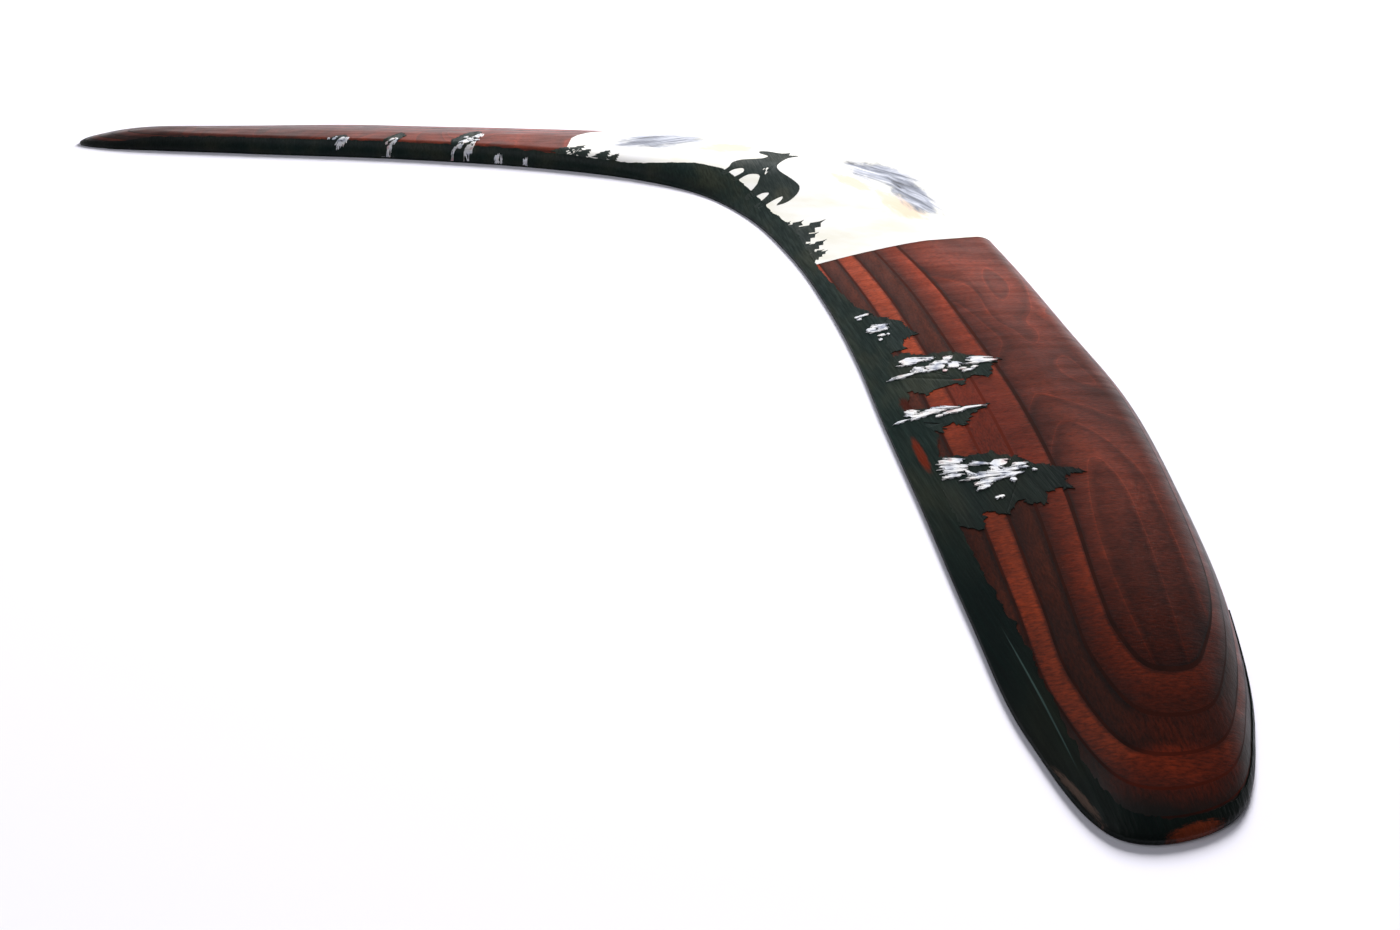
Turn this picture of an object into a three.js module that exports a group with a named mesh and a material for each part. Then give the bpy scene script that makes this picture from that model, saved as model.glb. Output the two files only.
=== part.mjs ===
// Plywood boomerang, right-handed: seven wood veneers held by six sheets of glue film, all cut to
// one aerofoil. Millimetres, +Z up, tip to tip along X, the elbow towards +Y, lying on z = 0.
//
// Each wing has a short blunt leading edge and a long thin trailing edge. Thrown with the right hand
// the boomerang turns anticlockwise seen from above, so the +X wing leads with its outer side and
// the -X wing leads with its inner side.
import * as THREE from 'three';

// ---- driving dimensions ----
const VENEER = 0.85;              // thickness of one peeled veneer
const FILM = 0.10;                // thickness of one sheet of glue film
const PLY_COUNT = 7;
const THICKNESS = PLY_COUNT * VENEER + (PLY_COUNT - 1) * FILM;
const EDGE = 0.8;                 // height of the square edge left under the bevel
const TIP_REACH = 0.06;           // how far the flat top follows the round of the tip, as a share
const POINTS_PER_SPAN = 4;        // contour points between two control points

// Bevel shape, as powers of a superellipse: almost straight at a trailing edge, round at a leading one.
const TRAILING = { fall: 1.3, rise: 1.05 };
const LEADING = { fall: 2.0, rise: 2.0 };

// Middle of the elbow: the outer and inner points of the outline, and the width of both bevels as a
// share of the distance between them.
const ELBOW = { outer: [0, 112.7], inner: [0, 33.2], bevel: 0.28 };

// Stations from the elbow to the tip of the +X wing: outer and inner outline points, then the width of
// the leading and trailing bevels as shares of the chord. The -X wing mirrors the outline.
const STATIONS = [
  { outer: [46, 103.6], inner: [34, 26.7], leading: 0.17, trailing: 0.45 },
  { outer: [90.5, 71.8], inner: [73, 8.2], leading: 0.13, trailing: 0.58 },
  { outer: [129.2, 41.2], inner: [106, -12.8], leading: 0.12, trailing: 0.66 },
  { outer: [162.2, 13.2], inner: [132, -31.8], leading: 0.12, trailing: 0.69 },
  { outer: [190, -10.6], inner: [157, -52.1], leading: 0.13, trailing: 0.70 },
  { outer: [213.5, -37], inner: [182, -71.9], leading: 0.14, trailing: 0.70 },
  { outer: [233.2, -62], inner: [206, -91.3], leading: 0.22, trailing: 0.64 },
];

// The round tip: outline points from the outer side to the inner side, and how much of a leading edge
// there is at each, counted from the wing's leading side. The flat top ends at a point beside the last
// station, this share of its chord away from the leading edge.
const TIP = [[245.6, -82.6], [250, -99], [241.8, -111.8], [225.6, -106]];
const TIP_LEAD = [0.6, 0.42, 0.32, 0.24];
const TIP_CREST = 0.29;

// Veneers from the bottom up, with the stained colour of each layer's cut edge.
const VENEERS = [
  { name: 'back_veneer', colour: 0x3b1a12 },
  { name: 'lower_cross_veneer', colour: 0x6b2c17 },
  { name: 'lower_long_veneer', colour: 0x4a1d12 },
  { name: 'core_veneer', colour: 0x8f3f1c },
  { name: 'upper_long_veneer', colour: 0x471b11 },
  { name: 'upper_cross_veneer', colour: 0x7d3218 },
  { name: 'face_veneer', colour: 0x5a2217 },
];
const FILM_COLOUR = 0x1d0d0a;

// ---- plan shape ----
const toVector = ([x, y]) => new THREE.Vector3(x, y, 0);
const between = (from, to, share) => from.clone().lerp(to, share);

// One wing as a list of control points from the elbow round the tip and back. Each one has its place
// on the outline, its place on the rim of the flat top, and lead: 1 on a leading edge, 0 on a trailing.
function wing(side, outerLeads) {
  const place = (pair) => toVector([side * pair[0], pair[1]]);
  const outer = [];
  const inner = [];
  for (const station of STATIONS) {
    const a = place(station.outer);
    const b = place(station.inner);
    const outerBevel = outerLeads ? station.leading : station.trailing;
    const innerBevel = outerLeads ? station.trailing : station.leading;
    outer.push({ rim: a, top: between(a, b, outerBevel), lead: outerLeads ? 1 : 0 });
    inner.push({ rim: b, top: between(b, a, innerBevel), lead: outerLeads ? 0 : 1 });
  }
  const last = STATIONS[STATIONS.length - 1];
  const crest = outerLeads
    ? between(place(last.outer), place(last.inner), TIP_CREST)
    : between(place(last.inner), place(last.outer), TIP_CREST);
  const tip = TIP.map((pair, i) => {
    const rim = place(pair);
    const lead = TIP_LEAD[outerLeads ? i : TIP.length - 1 - i];
    return { rim, top: between(crest, rim, TIP_REACH), lead };
  });
  return [...outer, ...tip, ...inner.reverse()];
}

function controlPoints() {
  const outer = toVector(ELBOW.outer);
  const inner = toVector(ELBOW.inner);
  const elbowOuter = { rim: outer, top: between(outer, inner, ELBOW.bevel), lead: 0.5 };
  const elbowInner = { rim: inner, top: between(inner, outer, ELBOW.bevel), lead: 0.5 };
  // Clockwise seen from above: out along the +X wing, back to the elbow, and round the -X wing.
  return [elbowOuter, ...wing(1, true), elbowInner, ...wing(-1, false).reverse()];
}

const CONTROL = controlPoints();
const CONTOUR_POINTS = CONTROL.length * POINTS_PER_SPAN;

function sampleCurve(points) {
  const curve = new THREE.CatmullRomCurve3(points, true, 'centripetal');
  return Array.from({ length: CONTOUR_POINTS }, (_, i) => curve.getPoint(i / CONTOUR_POINTS));
}

// The origin is under the middle of the outline's box.
const RIM_Y = sampleCurve(CONTROL.map((point) => point.rim)).map((point) => point.y);
const CENTRE_Y = (Math.min(...RIM_Y) + Math.max(...RIM_Y)) / 2;

// The closed contour of the aerofoil at one height, anticlockwise seen from above: a smooth curve
// through the point that each bevel reaches at that height.
function contourAt(height) {
  const up = THREE.MathUtils.clamp((height - EDGE) / (THICKNESS - EDGE), 0, 1);
  const reached = CONTROL.map(({ rim, top, lead }) => {
    const fall = THREE.MathUtils.lerp(TRAILING.fall, LEADING.fall, lead);
    const rise = THREE.MathUtils.lerp(TRAILING.rise, LEADING.rise, lead);
    const inwards = 1 - (1 - up ** rise) ** (1 / fall);
    return between(rim, top, inwards);
  });
  const contour = sampleCurve(reached);
  return contour.map((point) => new THREE.Vector3(point.x, point.y - CENTRE_Y, height)).reverse();
}

// A closed solid through a stack of contours: a wall strip between each two, and a flat cap at each end.
function stackedSolid(heights) {
  const contours = heights.map(contourAt);
  const count = CONTOUR_POINTS;
  const indices = [];
  for (let level = 0; level < contours.length - 1; level += 1) {
    for (let i = 0; i < count; i += 1) {
      const j = (i + 1) % count;
      const low = level * count;
      const high = low + count;
      indices.push(low + i, low + j, high + j, low + i, high + j, high + i);
    }
  }
  const flat = (contour) => contour.map((point) => new THREE.Vector2(point.x, point.y));
  const topStart = (contours.length - 1) * count;
  for (const [a, b, c] of THREE.ShapeUtils.triangulateShape(flat(contours[0]), [])) {
    indices.push(a, c, b);
  }
  for (const [a, b, c] of THREE.ShapeUtils.triangulateShape(flat(contours.at(-1)), [])) {
    indices.push(topStart + a, topStart + b, topStart + c);
  }
  const geometry = new THREE.BufferGeometry().setFromPoints(contours.flat());
  geometry.setIndex(indices);
  geometry.computeVertexNormals();
  return geometry;
}

// ---- layers ----
function layer(name, heights, colour, roughness) {
  const material = new THREE.MeshStandardMaterial({ color: colour, roughness, metalness: 0 });
  const mesh = new THREE.Mesh(stackedSolid(heights), material);
  mesh.name = name;
  return mesh;
}

const boomerang = new THREE.Group();
boomerang.name = 'boomerang';
VENEERS.forEach((veneer, i) => {
  const bottom = i * (VENEER + FILM);
  const top = bottom + VENEER;
  const middle = i === 0 ? EDGE : bottom + VENEER / 2;
  boomerang.add(layer(veneer.name, [bottom, middle, top], veneer.colour, 0.45));
  if (i < PLY_COUNT - 1) {
    const filmTop = (i + 1) * (VENEER + FILM);
    boomerang.add(layer(`glue_film_${i + 1}`, [top, filmTop], FILM_COLOUR, 0.4));
  }
});

export default boomerang;
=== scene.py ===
# %% [markdown]
# # A hand-painted plywood boomerang
# The boomerang is one board of seven-ply wood, sanded to an aerofoil, stained red-brown, painted and
# varnished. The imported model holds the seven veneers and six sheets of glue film. This lesson models
# each of them again with smooth, sanded faces, and then lays the paint on top as real, thin coats:
# a dark coat along the inner edge, a white band at the elbow, a hillside with an animal and trees,
# and snowy conifers on both wings.

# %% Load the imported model
import math

import bpy
import numpy as np
from mathutils import Matrix, Vector, noise
from mathutils.bvhtree import BVHTree


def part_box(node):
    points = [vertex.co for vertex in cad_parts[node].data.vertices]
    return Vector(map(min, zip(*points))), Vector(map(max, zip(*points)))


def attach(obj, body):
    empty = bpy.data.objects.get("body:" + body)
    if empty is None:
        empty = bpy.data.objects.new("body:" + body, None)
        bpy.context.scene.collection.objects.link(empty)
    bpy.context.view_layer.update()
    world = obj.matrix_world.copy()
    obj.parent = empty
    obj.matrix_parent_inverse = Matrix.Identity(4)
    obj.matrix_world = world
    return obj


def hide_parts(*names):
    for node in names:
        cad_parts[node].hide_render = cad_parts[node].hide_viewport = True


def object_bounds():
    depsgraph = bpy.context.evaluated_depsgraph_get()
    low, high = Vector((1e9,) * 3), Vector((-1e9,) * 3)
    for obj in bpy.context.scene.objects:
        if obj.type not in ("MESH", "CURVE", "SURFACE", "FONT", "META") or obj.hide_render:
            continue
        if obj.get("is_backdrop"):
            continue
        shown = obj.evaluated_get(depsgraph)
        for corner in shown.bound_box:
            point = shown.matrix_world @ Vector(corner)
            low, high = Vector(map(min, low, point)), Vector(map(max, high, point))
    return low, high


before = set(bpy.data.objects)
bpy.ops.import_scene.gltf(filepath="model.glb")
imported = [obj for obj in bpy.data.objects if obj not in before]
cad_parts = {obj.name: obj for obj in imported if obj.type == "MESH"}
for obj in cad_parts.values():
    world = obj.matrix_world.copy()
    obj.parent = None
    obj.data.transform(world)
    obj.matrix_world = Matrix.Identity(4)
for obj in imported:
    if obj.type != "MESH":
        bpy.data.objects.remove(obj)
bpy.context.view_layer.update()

MM = 0.001

# %% [markdown]
# ## The view and the light
# A long, thin object is hard to judge from the side, so the camera stands close to one wing tip, about
# a hand's width above the table, and looks along the boomerang. A short lens gives the strong
# perspective of a close view. The camera is placed first, because everything after it is checked in it.

# %% Camera
CAMERA_PLACE = Vector((0.2662, -0.2013, 0.1020))
CAMERA_AZIMUTH = math.radians(48.52)     # turned left from +Y
CAMERA_PITCH = math.radians(31.64)       # looking down
CAMERA_ROLL = math.radians(0.67)
SENSOR = 36.0
LENS = 25.1

forward = Vector((
    -math.sin(CAMERA_AZIMUTH) * math.cos(CAMERA_PITCH),
    math.cos(CAMERA_AZIMUTH) * math.cos(CAMERA_PITCH),
    -math.sin(CAMERA_PITCH),
))
level_right = Vector((math.cos(CAMERA_AZIMUTH), math.sin(CAMERA_AZIMUTH), 0.0))
right = Matrix.Rotation(CAMERA_ROLL, 3, forward) @ level_right
up = right.cross(forward)

bpy.ops.object.select_all(action="DESELECT")
bpy.ops.object.camera_add()
camera = bpy.context.object
camera.name = "camera"
camera.matrix_world = Matrix((right, up, -forward)).transposed().to_4x4()
camera.location = CAMERA_PLACE
camera.data.lens = LENS
camera.data.sensor_width = SENSOR
camera.data.clip_start = 0.01
bpy.context.scene.camera = camera
print("camera at", [round(v, 3) for v in camera.location], "lens", LENS)

# %% [markdown]
# The light is a bright haze low down beyond the boomerang, and a darker room overhead and behind the
# camera. One large soft panel stands beyond the wings. Varnish seen at a low angle then reflects the pale
# haze, and varnish seen from above stays deep and dark, which is what makes the wood glow. The table is
# plain white.

# %% World, panels and table
HAZE = (1.0, 0.985, 1.0)
HAZE_STRENGTH = 0.92
OVERHEAD_STRENGTH = 0.08
HAZE_HEIGHTS = (0.10, 0.52)              # sine of the elevation where the haze starts and ends to fade
HAZE_AHEAD = (-0.35, 0.35)               # the same along the horizontal view, from behind to ahead

world = bpy.data.worlds.new("studio")
bpy.context.scene.world = world
world.use_nodes = True
sky = world.node_tree
sky.nodes.clear()
sky_place = sky.nodes.new("ShaderNodeTexCoord")
sky_split = sky.nodes.new("ShaderNodeSeparateXYZ")
sky_fade = sky.nodes.new("ShaderNodeMapRange")
sky_back = sky.nodes.new("ShaderNodeBackground")
sky_out = sky.nodes.new("ShaderNodeOutputWorld")
sky_fade.interpolation_type = "SMOOTHSTEP"
sky_fade.inputs["From Min"].default_value = HAZE_HEIGHTS[0]
sky_fade.inputs["From Max"].default_value = HAZE_HEIGHTS[1]
sky_fade.inputs["To Min"].default_value = HAZE_STRENGTH
sky_fade.inputs["To Max"].default_value = 0.0
sky_ahead = sky.nodes.new("ShaderNodeVectorMath")
sky_ahead.operation = "DOT_PRODUCT"
sky_ahead.inputs[1].default_value = (-math.sin(CAMERA_AZIMUTH), math.cos(CAMERA_AZIMUTH), 0.0)
sky_turn = sky.nodes.new("ShaderNodeMapRange")
sky_turn.inputs["From Min"].default_value = HAZE_AHEAD[0]
sky_turn.inputs["From Max"].default_value = HAZE_AHEAD[1]
sky_join = sky.nodes.new("ShaderNodeMath")
sky_join.operation = "MULTIPLY_ADD"
sky_join.inputs[2].default_value = OVERHEAD_STRENGTH
sky_back.inputs["Color"].default_value = (*HAZE, 1.0)
sky.links.new(sky_place.outputs["Generated"], sky_split.inputs[0])
sky.links.new(sky_split.outputs["Z"], sky_fade.inputs["Value"])
sky.links.new(sky_place.outputs["Generated"], sky_ahead.inputs[0])
sky.links.new(sky_ahead.outputs["Value"], sky_turn.inputs["Value"])
sky.links.new(sky_fade.outputs["Result"], sky_join.inputs[0])
sky.links.new(sky_turn.outputs["Result"], sky_join.inputs[1])
sky.links.new(sky_join.outputs[0], sky_back.inputs["Strength"])
sky.links.new(sky_back.outputs[0], sky_out.inputs["Surface"])


def soft_panel(name, place, target, size, power, colour):
    """A square area light at place that faces target."""
    bpy.ops.object.light_add(type="AREA", location=place)
    lamp = bpy.context.object
    lamp.name = name
    lamp.data.size = size
    lamp.data.energy = power
    lamp.data.color = colour
    lamp.rotation_euler = (Vector(target) - Vector(place)).to_track_quat("-Z", "Y").to_euler()
    return lamp


key = soft_panel("key_panel", (-0.5, 1.35, 0.8), (0.0, 0.0, 0.0), 0.6, 71.0, (1.0, 0.99, 0.98))
key.visible_glossy = False               # it casts the shadows, but makes no glare in the varnish
soft_panel("fill_panel", (-0.4, -0.5, 1.9), (0.0, 0.0, 0.0), 1.4, 9.0, (0.93, 0.95, 1.0))

bpy.ops.mesh.primitive_plane_add(size=8.0, location=(0.0, 0.0, 0.0))
table = bpy.context.object
table.name = "table"
table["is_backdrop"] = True
table_finish = bpy.data.materials.new("table_white")
table_finish.use_nodes = True
table_shader = table_finish.node_tree.nodes["Principled BSDF"]
table_shader.inputs["Base Color"].default_value = (0.88, 0.87, 0.96, 1.0)
table_shader.inputs["Roughness"].default_value = 0.7
table.data.materials.append(table_finish)

bpy.context.scene.view_settings.view_transform = "Standard"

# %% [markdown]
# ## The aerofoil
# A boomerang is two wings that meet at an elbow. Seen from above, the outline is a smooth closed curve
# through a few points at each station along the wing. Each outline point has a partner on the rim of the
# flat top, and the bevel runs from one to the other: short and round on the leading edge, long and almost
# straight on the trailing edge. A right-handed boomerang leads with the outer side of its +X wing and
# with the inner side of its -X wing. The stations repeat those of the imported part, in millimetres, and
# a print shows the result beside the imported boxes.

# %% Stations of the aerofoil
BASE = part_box("back_veneer")[0].z
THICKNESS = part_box("face_veneer")[1].z - BASE
EDGE = 0.8 * MM
TIP_REACH = 0.06
TIP_CREST = 0.29
TRAILING_FALL, TRAILING_RISE = 1.3, 1.05
LEADING_FALL, LEADING_RISE = 2.0, 2.0

ELBOW_OUTER, ELBOW_INNER, ELBOW_BEVEL = (0, 112.7), (0, 33.2), 0.28
STATIONS = [                       # outer point, inner point, leading and trailing bevel shares
    ((46, 103.6), (34, 26.7), 0.17, 0.45),
    ((90.5, 71.8), (73, 8.2), 0.13, 0.58),
    ((129.2, 41.2), (106, -12.8), 0.12, 0.66),
    ((162.2, 13.2), (132, -31.8), 0.12, 0.69),
    ((190, -10.6), (157, -52.1), 0.13, 0.70),
    ((213.5, -37), (182, -71.9), 0.14, 0.70),
    ((233.2, -62), (206, -91.3), 0.22, 0.64),
]
TIP = [(245.6, -82.6), (250, -99), (241.8, -111.8), (225.6, -106)]
TIP_LEAD = [0.6, 0.42, 0.32, 0.24]   # from the wing's leading side to its trailing side


def wing(side, outer_leads):
    """Control points of one wing, from the elbow round the tip and back: rim, top and lead."""
    outer_row, inner_row = [], []
    for outer, inner, leading, trailing in STATIONS:
        a = np.array((side * outer[0], outer[1]))
        b = np.array((side * inner[0], inner[1]))
        outer_bevel, inner_bevel = (leading, trailing) if outer_leads else (trailing, leading)
        outer_row.append((a, a + (b - a) * outer_bevel, float(outer_leads)))
        inner_row.append((b, b + (a - b) * inner_bevel, float(not outer_leads)))
    first, second = (outer_row, inner_row) if outer_leads else (inner_row, outer_row)
    crest = first[-1][0] + (second[-1][0] - first[-1][0]) * TIP_CREST
    tip_row = []
    for i, (x, y) in enumerate(TIP):
        rim = np.array((side * x, y))
        lead = TIP_LEAD[i] if outer_leads else TIP_LEAD[-1 - i]
        tip_row.append((rim, crest + (rim - crest) * TIP_REACH, lead))
    return outer_row + tip_row + inner_row[::-1]


elbow_outer, elbow_inner = np.array(ELBOW_OUTER, float), np.array(ELBOW_INNER, float)
elbow_across = (elbow_inner - elbow_outer) * ELBOW_BEVEL
control = [
    (elbow_outer, elbow_outer + elbow_across, 0.5),
    *wing(1, True),
    (elbow_inner, elbow_inner - elbow_across, 0.5),
    *wing(-1, False)[::-1],
]
RIM = np.array([c[0] for c in control]) * MM
TOP = np.array([c[1] for c in control]) * MM
LEAD = np.array([c[2] for c in control])
SPANS = len(control)
ELBOW_IN = 1 + len(STATIONS) * 2 + len(TIP)      # index of the elbow's inner control point
print(SPANS, "control points, the inner elbow is number", ELBOW_IN)

# %% [markdown]
# A centripetal Catmull-Rom curve passes through every control point without loops or overshoot, which
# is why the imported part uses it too. A place on the outline is a number u that counts control points
# clockwise from the outer elbow, and may lie between two of them.

# %% Curves and heights
def curve_at(points, u):
    """Points of the closed centripetal Catmull-Rom curve at places u."""
    u = np.asarray(u, float)
    i = np.floor(u).astype(int)
    t = (u - i)[:, None]
    p0, p1, p2, p3 = (points[(i + k) % len(points)] for k in (-1, 0, 1, 2))
    d0, d1, d2 = (np.sqrt(np.linalg.norm(b - a, axis=1))[:, None]
                  for a, b in ((p0, p1), (p1, p2), (p2, p3)))
    m1 = ((p1 - p0) / d0 - (p2 - p0) / (d0 + d1) + (p2 - p1) / d1) * d1
    m2 = ((p2 - p1) / d1 - (p3 - p1) / (d1 + d2) + (p3 - p2) / d2) * d1
    a = 2 * p1 - 2 * p2 + m1 + m2
    b = -3 * p1 + 3 * p2 - 2 * m1 - m2
    return ((a * t + b) * t + m1) * t + p1


def lead_at(u):
    """1 on a leading edge, 0 on a trailing edge."""
    return np.interp(np.asarray(u, float) % SPANS, np.arange(SPANS + 1), np.append(LEAD, LEAD[0]))


rim_y = curve_at(RIM, np.arange(SPANS * 4) / 4)[:, 1]
CENTRE = np.array((0.0, (rim_y.min() + rim_y.max()) / 2))
RIM = RIM - CENTRE
TOP = TOP - CENTRE


def bevel_powers(u):
    lead = lead_at(u)
    return (TRAILING_FALL + (LEADING_FALL - TRAILING_FALL) * lead,
            TRAILING_RISE + (LEADING_RISE - TRAILING_RISE) * lead)


def share_at(u, height):
    """How far in from the rim, as a share of the bevel, the surface reaches a height."""
    fall, rise = bevel_powers(u)
    up_share = np.clip((height - EDGE) / (THICKNESS - EDGE), 0, 1)
    return 1 - (1 - up_share ** rise) ** (1 / fall)


def outline_at(height, u):
    """Points of the smooth contour at one height: through the points that each bevel reaches there."""
    reached = RIM + (TOP - RIM) * share_at(np.arange(SPANS), height)[:, None]
    return curve_at(reached, u)


def inwards_at(u):
    """The direction from the rim towards the flat top."""
    across = curve_at(TOP, u) - curve_at(RIM, u)
    return across / np.linalg.norm(across, axis=1)[:, None]


# %% Contours of the sanded board
RING = SPANS * 20                  # points round one contour
ROUNDING = 0.3 * MM                # the underside's edge is eased by this much


def contour(height, eased=True):
    """The closed contour at one height, anticlockwise from above, as rows of x, y, z."""
    u = np.arange(RING) * SPANS / RING
    line = outline_at(height, u)
    if eased and height < ROUNDING:
        line = line + inwards_at(u) * ROUNDING * (1 - math.sqrt(1 - (1 - height / ROUNDING) ** 2))
    return np.column_stack((line, np.full(RING, BASE + height)))[::-1]


for node in ("back_veneer", "face_veneer"):
    low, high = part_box(node)
    ours = contour(low.z - BASE, eased=False)
    print(node, "packed box in mm:", round((high.x - low.x) / MM, 2), round((high.y - low.y) / MM, 2),
          "contour:", *np.round(np.ptp(ours[:, :2], axis=0) / MM, 2))

# %% [markdown]
# ## Modelling helpers
# A veneer is modelled as a cabinet maker would think of it: a flat disc of many sides is laid on the
# lowest contour, and then extruded up a little at a time, each new rim laid on its own contour. A coat
# of paint starts as a flat grid that is laid on the wood and given its thickness by a Solidify modifier.

# %% Helpers that work on the mesh
def deselect():
    if bpy.context.mode != "OBJECT":
        bpy.ops.object.mode_set(mode="OBJECT")
    bpy.ops.object.select_all(action="DESELECT")


def pick(piece):
    """Makes a piece the only selected one, and the active one."""
    deselect()
    piece.select_set(True)
    bpy.context.view_layer.objects.active = piece


def get_points(piece):
    points = np.empty(len(piece.data.vertices) * 3)
    piece.data.vertices.foreach_get("co", points)
    return points.reshape(-1, 3)


def set_points(piece, points):
    piece.data.vertices.foreach_set("co", np.ascontiguousarray(points, float).ravel())
    piece.data.update()


def outward(piece):
    """Turns every face outwards."""
    pick(piece)
    bpy.ops.object.mode_set(mode="EDIT")
    bpy.ops.mesh.select_all(action="SELECT")
    bpy.ops.mesh.normals_make_consistent(inside=False)
    bpy.ops.object.mode_set(mode="OBJECT")


def apply_modifier(piece, kind, **settings):
    """Adds a modifier with these settings and applies it."""
    pick(piece)
    bpy.ops.object.modifier_add(type=kind)
    modifier = piece.modifiers[-1]
    for key, value in settings.items():
        setattr(modifier, key, value)
    bpy.ops.object.modifier_apply(modifier=modifier.name)


def smooth(piece, degrees):
    pick(piece)
    bpy.ops.object.shade_smooth_by_angle(angle=math.radians(degrees))


def hand_in(piece, finish, replaces=()):
    """Gives a finished piece its material and its body."""
    piece.data.materials.clear()
    piece.data.materials.append(finish)
    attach(piece, "root")
    if replaces:
        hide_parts(*replaces)
    return piece


# %% A solid stacked from contours
def stacked(name, heights, crisp=False):
    """A closed solid through the contours at these heights, extruded rim by rim."""
    deselect()
    bpy.ops.mesh.primitive_circle_add(vertices=RING, radius=1.0, fill_type="NGON")
    piece = bpy.context.object
    piece.name = name
    set_points(piece, contour(heights[0]))
    rim = get_points(piece)
    bpy.ops.object.mode_set(mode="EDIT")
    bpy.ops.mesh.select_all(action="SELECT")
    for height in heights[1:]:
        bpy.ops.mesh.extrude_region_move()
        bpy.ops.object.mode_set(mode="OBJECT")
        number = {tuple(point): i for i, point in enumerate(rim)}
        points = get_points(piece)
        fresh = np.array([v.index for v in piece.data.vertices if v.select])
        order = np.array([number[tuple(point)] for point in points[fresh]])
        points[fresh] = contour(height)[order]
        set_points(piece, points)
        rim = get_points(piece)[fresh[np.argsort(order)]]
        bpy.ops.object.mode_set(mode="EDIT")
    if crisp:
        bpy.ops.mesh.select_mode(type="FACE")
        bpy.ops.mesh.select_face_by_sides(number=4, type="GREATER", extend=False)
        bpy.ops.mesh.region_to_loop()
        bpy.ops.mesh.mark_sharp()
        bpy.ops.mesh.select_mode(type="VERT")
    bpy.ops.object.mode_set(mode="OBJECT")
    outward(piece)
    return piece


# %% [markdown]
# The paint has to lie on the sanded wood, so the whole board is modelled once as a single blank. Paint is
# draped on it, and it is thrown away at the end. Its contours crowd together near the top, where the
# bevel flattens out.

# %% The blank that the paint is laid on
def blank_heights(count):
    steps = np.linspace(0, 1, count)
    lower = [0.0, 0.1 * MM, 0.3 * MM]
    return lower + list(EDGE + (THICKNESS - EDGE) * (1 - (1 - steps) ** 1.6))


blank = stacked("blank", blank_heights(36))
blank_tree = BVHTree.FromPolygons(
    [tuple(p) for p in get_points(blank)], [tuple(f.vertices) for f in blank.data.polygons])
print("blank:", len(blank.data.polygons), "faces")


def surface_z(x, y):
    """Height of the sanded top at one place, or None beside the board."""
    hit = blank_tree.ray_cast(Vector((x, y, 0.1)), Vector((0, 0, -1)))
    return hit[0].z if hit[0] is not None else None

# %% [markdown]
# ## Stained wood
# The stain soaks unevenly into the veneers. Long-grain layers turn dark brown, and cross-grain layers
# take a brighter orange, because the sanded bevel cuts their fibres at another angle. One function makes
# the finish of every layer: fine fibres, wider streaks of grain, slow blotches of stain, a darker line
# where the layer meets the glue, and a satin varnish. The fibres of the long layers run along the +X
# wing, and those of the cross layers and of the face run at right angles to it. A few pools of stain
# blur the layers on the +X wing. The colour is lighter and redder towards the elbow, partly thinner
# stain and partly a painted sheen of varnish seen at a low angle, and it is darker towards the tips.

# %% Node helpers
def new_finish(name):
    finish = bpy.data.materials.new(name)
    finish.use_nodes = True
    nodes, links = finish.node_tree.nodes, finish.node_tree.links
    return finish, nodes, links, nodes["Principled BSDF"]


def noise_node(nodes, links, vector, scale, detail=3.0, roughness=0.55, distortion=0.0):
    node = nodes.new("ShaderNodeTexNoise")
    node.inputs["Scale"].default_value = scale
    node.inputs["Detail"].default_value = detail
    node.inputs["Roughness"].default_value = roughness
    node.inputs["Distortion"].default_value = distortion
    links.new(vector, node.inputs["Vector"])
    return node.outputs["Fac"]


def turned(nodes, links, degrees, scale, place=(0.0, 0.0, 0.0)):
    """Object coordinates about a place, turned about Z and then scaled along the turned axes."""
    where = nodes.new("ShaderNodeTexCoord")
    move = nodes.new("ShaderNodeMapping")
    move.inputs["Location"].default_value = tuple(-v for v in place)
    links.new(where.outputs["Object"], move.inputs["Vector"])
    turn = nodes.new("ShaderNodeMapping")
    turn.inputs["Rotation"].default_value = (0.0, 0.0, -math.radians(degrees))
    links.new(move.outputs[0], turn.inputs["Vector"])
    size = nodes.new("ShaderNodeMapping")
    size.inputs["Scale"].default_value = scale
    links.new(turn.outputs[0], size.inputs["Vector"])
    return size.outputs[0]


def ramp(nodes, links, value, stops):
    """A colour ramp; stops are (position, (r, g, b)) or (position, grey)."""
    node = nodes.new("ShaderNodeValToRGB")
    elements = node.color_ramp.elements
    while len(elements) < len(stops):
        elements.new(0.5)
    for element, (place, colour) in zip(elements, stops):
        element.position = place
        shade = colour if isinstance(colour, tuple) else (colour,) * 3
        element.color = (*shade, 1.0)
    links.new(value, node.inputs["Fac"])
    return node.outputs["Color"]


def mix(nodes, links, how, factor, first, second):
    """Mixes two colours; factor, first and second may be plain values or sockets."""
    node = nodes.new("ShaderNodeMix")
    node.data_type = "RGBA"
    node.blend_type = how
    for socket, value in ((node.inputs[0], factor), (node.inputs[6], first), (node.inputs[7], second)):
        if isinstance(value, bpy.types.NodeSocket):
            links.new(value, socket)
        else:
            socket.default_value = (*value, 1.0) if isinstance(value, tuple) else value
    return node.outputs[2]


def maths(nodes, links, how, first, second=0.0):
    node = nodes.new("ShaderNodeMath")
    node.operation = how
    for socket, value in ((node.inputs[0], first), (node.inputs[1], second)):
        if isinstance(value, bpy.types.NodeSocket):
            links.new(value, socket)
        else:
            socket.default_value = value
    return node.outputs[0]


def spread(nodes, links, value, low, high, to_low=0.0, to_high=1.0):
    """Maps a value from one range to another, smoothly."""
    node = nodes.new("ShaderNodeMapRange")
    node.interpolation_type = "SMOOTHSTEP"
    for key, number in (("From Min", low), ("From Max", high), ("To Min", to_low), ("To Max", to_high)):
        node.inputs[key].default_value = number
    links.new(value, node.inputs["Value"])
    return node.outputs["Result"]


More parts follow.
